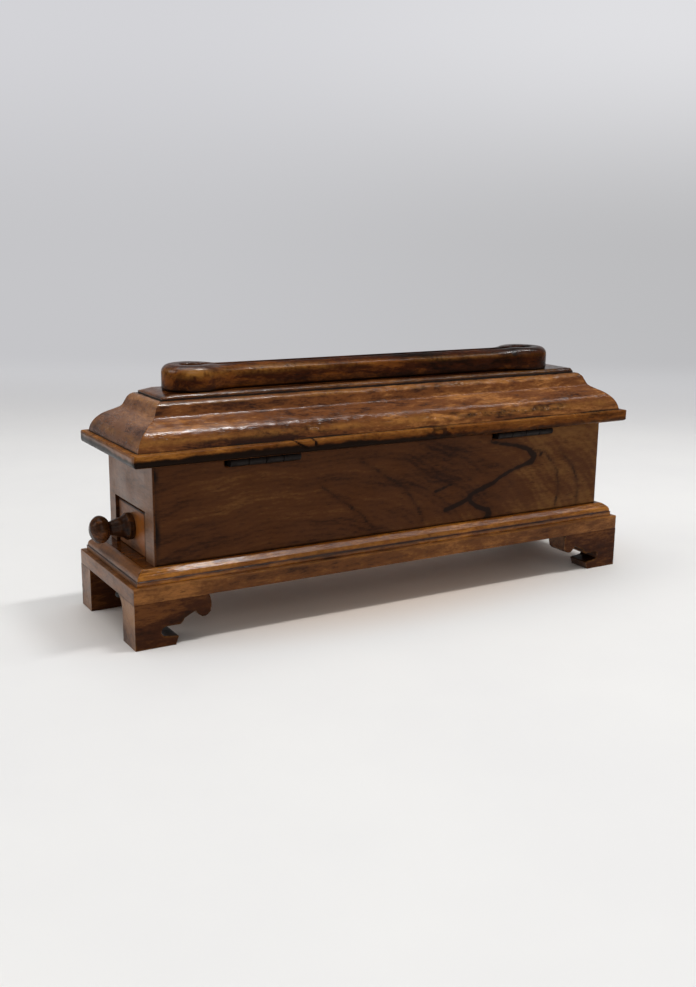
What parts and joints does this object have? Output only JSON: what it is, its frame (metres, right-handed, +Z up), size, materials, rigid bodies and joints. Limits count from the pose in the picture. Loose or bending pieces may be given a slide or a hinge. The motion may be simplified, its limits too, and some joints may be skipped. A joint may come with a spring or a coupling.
{
  "type": "donation box",
  "caption": "Narrow wooden box on bracket feet with an end drawer and a hinged, moulded lid that carries a raised collar with a long coin slot.",
  "frame": {"origin": "centre of the base footprint, on the surface that the feet stand on", "axes": "+X along the box away from the drawer, +Y from the hinge side to the front side, +Z up"},
  "size_m": [0.3092, 0.0809, 0.129],
  "materials": {
    "walnut": "hand-rubbed gloss",
    "walnut_light": "hand-rubbed gloss",
    "walnut_dark": "hand-rubbed gloss",
    "walnut_inside": "bare, planed",
    "hinge_steel": "worn"
  },
  "bodies": {
    "box": {"plinth_board": "walnut_light", "base_moulding_hinge_side": "walnut_light", "base_moulding_front": "walnut_light", "base_moulding_drawer_end": "walnut_light", "base_moulding_closed_end": "walnut_light", "foot_hinge_side_drawer_end": "walnut_light", "foot_hinge_side_closed_end": "walnut_light", "foot_front_drawer_end": "walnut_light", "foot_front_closed_end": "walnut_light", "bottom_board": "walnut_light", "hinge_side_board": "walnut", "front_board": "walnut", "drawer_end_panel": "walnut", "closed_end_board": "walnut", "compartment_floor": "walnut_inside", "carcase_leaf_drawer_end": "hinge_steel", "carcase_leaf_closed_end": "hinge_steel", "hinge_pin_drawer_end": "hinge_steel", "hinge_pin_closed_end": "hinge_steel", "carcase_leaf_screws": "hinge_steel"},
    "drawer": {"drawer_front": "walnut", "drawer_side_hinge_side": "walnut_inside", "drawer_side_front": "walnut_inside", "drawer_back": "walnut_inside", "drawer_bottom": "walnut_inside", "drawer_knob": "walnut_dark"},
    "lid": {"lid_plate": "walnut", "lid_moulding_hinge_side": "walnut_light", "lid_moulding_front": "walnut_light", "lid_moulding_drawer_end": "walnut_light", "lid_moulding_closed_end": "walnut_light", "lid_cap_board": "walnut", "slot_collar": "walnut_dark", "lid_leaf_drawer_end": "hinge_steel", "lid_leaf_closed_end": "hinge_steel", "lid_leaf_screws": "hinge_steel"}
  },
  "joints": [
    {"name": "lid_hinge", "type": "hinge", "parent": "box", "child": "lid", "pos_m": [0, -0.03355, 0.0847], "axis": [1, 0, 0], "range_deg": [0, 124]},
    {"name": "drawer_slide", "type": "slide", "parent": "box", "child": "drawer", "axis": [-1, 0, 0], "range_m": [0, 0.19]}
  ]
}
